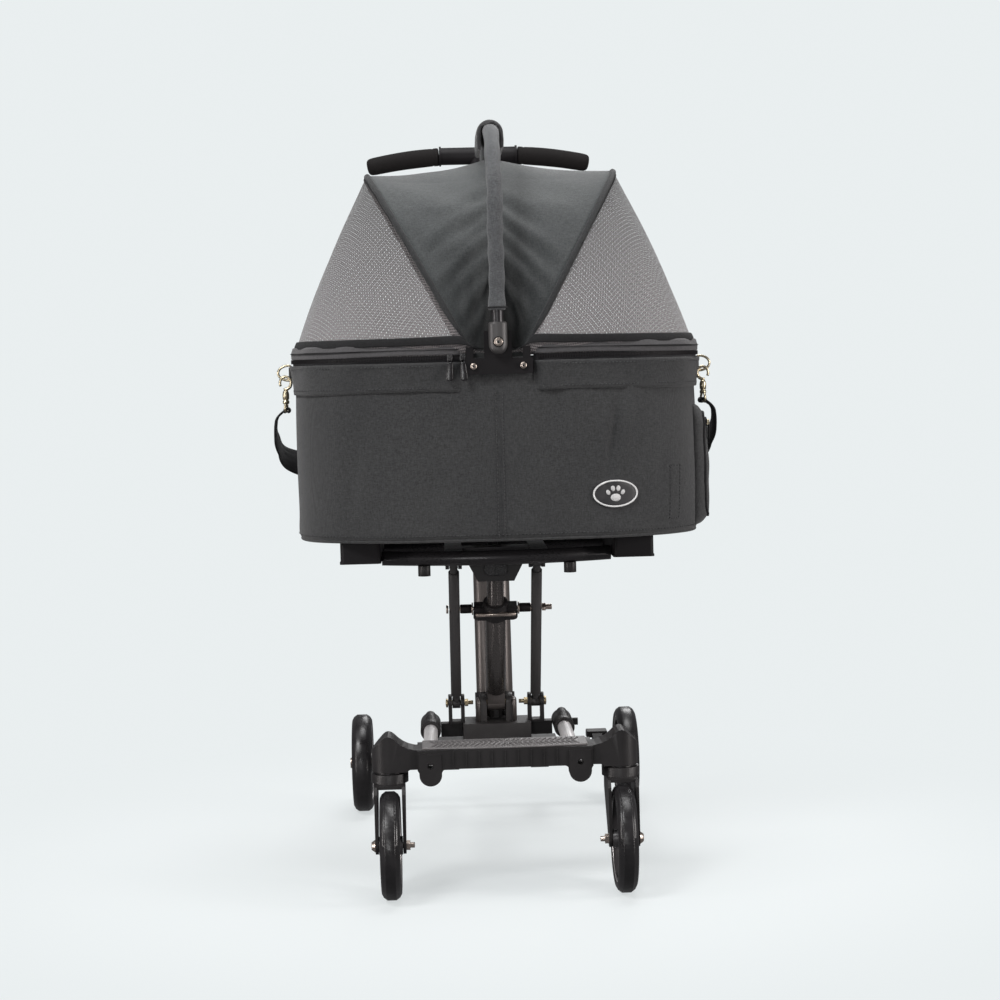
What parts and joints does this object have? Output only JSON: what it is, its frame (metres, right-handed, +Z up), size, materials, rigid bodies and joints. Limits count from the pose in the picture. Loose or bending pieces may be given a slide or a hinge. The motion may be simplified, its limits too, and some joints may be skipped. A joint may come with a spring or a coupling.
{
  "type": "pet stroller",
  "caption": "Folding four-wheeled pet stroller: a lift-off soft carrier with a mesh canopy and bail handle on a light frame with swivel casters and a T-bar push handle.",
  "frame": {"origin": "on the floor, under the middle of the stroller", "axes": "+X to the right seen from the front, +Y to the back towards the push handle, +Z up"},
  "size_m": [0.625, 0.7125, 1.0375],
  "materials": {
    "frame_plastic": "satin moulded",
    "tread": "embossed",
    "tube_metal": "brushed",
    "dark_metal": "satin black",
    "bolt_brass": "dull plated",
    "tyre": "smooth",
    "rim_plastic": "satin moulded",
    "rod_grey": "satin",
    "stem_grey": "anodised grey",
    "grip_foam": "closed-cell foam",
    "button_plastic": "smooth",
    "canvas": "woven",
    "board": "plain",
    "cushion_fabric": "woven",
    "trim_fabric": "ribbed binding",
    "mesh": "open hexagonal mesh",
    "hardware_brass": "antique",
    "strap_web": "webbing"
  },
  "bodies": {
    "frame": {"step_bumper": "frame_plastic", "step_tread": "tread", "side_tubes": "tube_metal", "tube_collars": "frame_plastic", "crossbar": "frame_plastic", "centre_block": "frame_plastic", "rod_clevises": "dark_metal", "frame_bolts": "bolt_brass", "rear_beam": "dark_metal", "rear_legs": "dark_metal", "rear_axle": "dark_metal"},
    "brake": {"brake_pedal": "frame_plastic"},
    "caster_left": {"caster_fork_left": "frame_plastic", "caster_axle_left": "bolt_brass"},
    "caster_right": {"caster_fork_right": "frame_plastic", "caster_axle_right": "bolt_brass"},
    "front_wheel_left": {"front_tyre_left": "tyre", "front_rim_left": "rim_plastic"},
    "front_wheel_right": {"front_tyre_right": "tyre", "front_rim_right": "rim_plastic"},
    "rear_wheel_left": {"rear_tyre_left": "tyre", "rear_rim_left": "rim_plastic"},
    "rear_wheel_right": {"rear_tyre_right": "tyre", "rear_rim_right": "rim_plastic"},
    "post": {"main_post": "dark_metal", "post_foot": "stem_grey", "tie_rods": "rod_grey", "yoke_collar": "frame_plastic", "cross_pin": "bolt_brass"},
    "link": {"levelling_link": "rod_grey"},
    "platform": {"platform_frame": "dark_metal", "platform_pads": "frame_plastic", "latch_block": "frame_plastic", "strap_posts": "frame_plastic"},
    "release": {"release_button": "button_plastic"},
    "stem": {"stem_sleeve": "stem_grey", "stem_tube": "stem_grey", "clamp_collar": "frame_plastic"},
    "handle": {"inner_tube": "stem_grey", "handle_bar": "frame_plastic", "grip_left": "grip_foam", "grip_right": "grip_foam"},
    "height_release": {"height_button": "button_plastic"},
    "carrier": {"carrier_shell": "canvas", "base_board": "board", "cushion": "cushion_fabric", "rim_frame": "trim_fabric", "hoop_brackets": "frame_plastic", "side_pocket": "canvas", "d_rings": "hardware_brass", "snap_hooks": "hardware_brass", "shoulder_strap": "strap_web", "gusset_left": "canvas", "gusset_right": "canvas"},
    "lid_left": {"hoop_left": "trim_fabric", "mesh_lid_left": "mesh"},
    "lid_right": {"hoop_right": "trim_fabric", "mesh_lid_right": "mesh"},
    "bail": {"bail_tube": "dark_metal", "bail_sleeve": "canvas"}
  },
  "joints": [
    {"name": "platform_fold", "type": "hinge", "parent": "frame", "child": "post", "pos_m": [0, 0.1, 0.19], "axis": [1, 0, 0], "range_deg": [0, 38]},
    {"name": "link_swing", "type": "hinge", "parent": "frame", "child": "link", "pos_m": [0, 0.114, 0.212], "axis": [1, 0, 0], "range_deg": [0, 38]},
    {"name": "platform_level", "type": "hinge", "parent": "post", "child": "platform", "pos_m": [0, -0.033, 0.412], "axis": [1, 0, 0], "range_deg": [-38, 0]},
    {"name": "release_press", "type": "slide", "parent": "platform", "child": "release", "axis": [0, 1, 0], "range_m": [0, 0.0025], "stiffness_N_per_m": 900, "springref_m": -0.0008},
    {"name": "handle_fold", "type": "hinge", "parent": "frame", "child": "stem", "pos_m": [0, 0.15, 0.168], "axis": [-1, 0, 0], "range_deg": [0, 60]},
    {"name": "handle_slide", "type": "slide", "parent": "stem", "child": "handle", "axis": [0, -0.2183, -0.9759], "range_m": [0, 0.24]},
    {"name": "height_press", "type": "slide", "parent": "handle", "child": "height_release", "axis": [0, 0.9759, -0.2183], "range_m": [0, 0.002], "stiffness_N_per_m": 600, "springref_m": -0.0008},
    {"name": "carrier_lift", "type": "slide", "parent": "platform", "child": "carrier", "axis": [0, 0, 1], "range_m": [0, 0.12]},
    {"name": "bail_swing", "type": "hinge", "parent": "carrier", "child": "bail", "pos_m": [0.006, -0.033, 0.72], "axis": [0, 1, 0], "range_deg": [-22, 22]},
    {"name": "lid_left_open", "type": "hinge", "parent": "carrier", "child": "lid_left", "pos_m": [-0.032, -0.033, 0.709], "axis": [0, 1, 0], "range_deg": [0, 25], "deforming": ["gusset_left"]},
    {"name": "lid_right_open", "type": "hinge", "parent": "carrier", "child": "lid_right", "pos_m": [0.044, -0.033, 0.709], "axis": [0, -1, 0], "range_deg": [0, 25], "deforming": ["gusset_right"]},
    {"name": "brake_press", "type": "hinge", "parent": "frame", "child": "brake", "pos_m": [0.164, 0.25, 0.075], "axis": [-1, 0, 0], "range_deg": [0, 18]},
    {"name": "caster_swivel_left", "type": "hinge", "parent": "frame", "child": "caster_left", "pos_m": [-0.152, -0.248, 0.16], "axis": [0, 0, 1], "continuous": true},
    {"name": "front_wheel_spin_left", "type": "hinge", "parent": "caster_left", "child": "front_wheel_left", "pos_m": [-0.152, -0.286, 0.07], "axis": [1, 0, 0], "continuous": true},
    {"name": "rear_wheel_spin_left", "type": "hinge", "parent": "frame", "child": "rear_wheel_left", "pos_m": [-0.206, 0.25, 0.075], "axis": [1, 0, 0], "continuous": true},
    {"name": "caster_swivel_right", "type": "hinge", "parent": "frame", "child": "caster_right", "pos_m": [0.152, -0.248, 0.16], "axis": [0, 0, 1], "continuous": true},
    {"name": "front_wheel_spin_right", "type": "hinge", "parent": "caster_right", "child": "front_wheel_right", "pos_m": [0.152, -0.286, 0.07], "axis": [1, 0, 0], "continuous": true},
    {"name": "rear_wheel_spin_right", "type": "hinge", "parent": "frame", "child": "rear_wheel_right", "pos_m": [0.206, 0.25, 0.075], "axis": [1, 0, 0], "continuous": true}
  ],
  "couplings": [
    {"joint": "link_swing", "follows": "platform_fold", "ratio": 1},
    {"joint": "platform_level", "follows": "platform_fold", "ratio": -1}
  ]
}
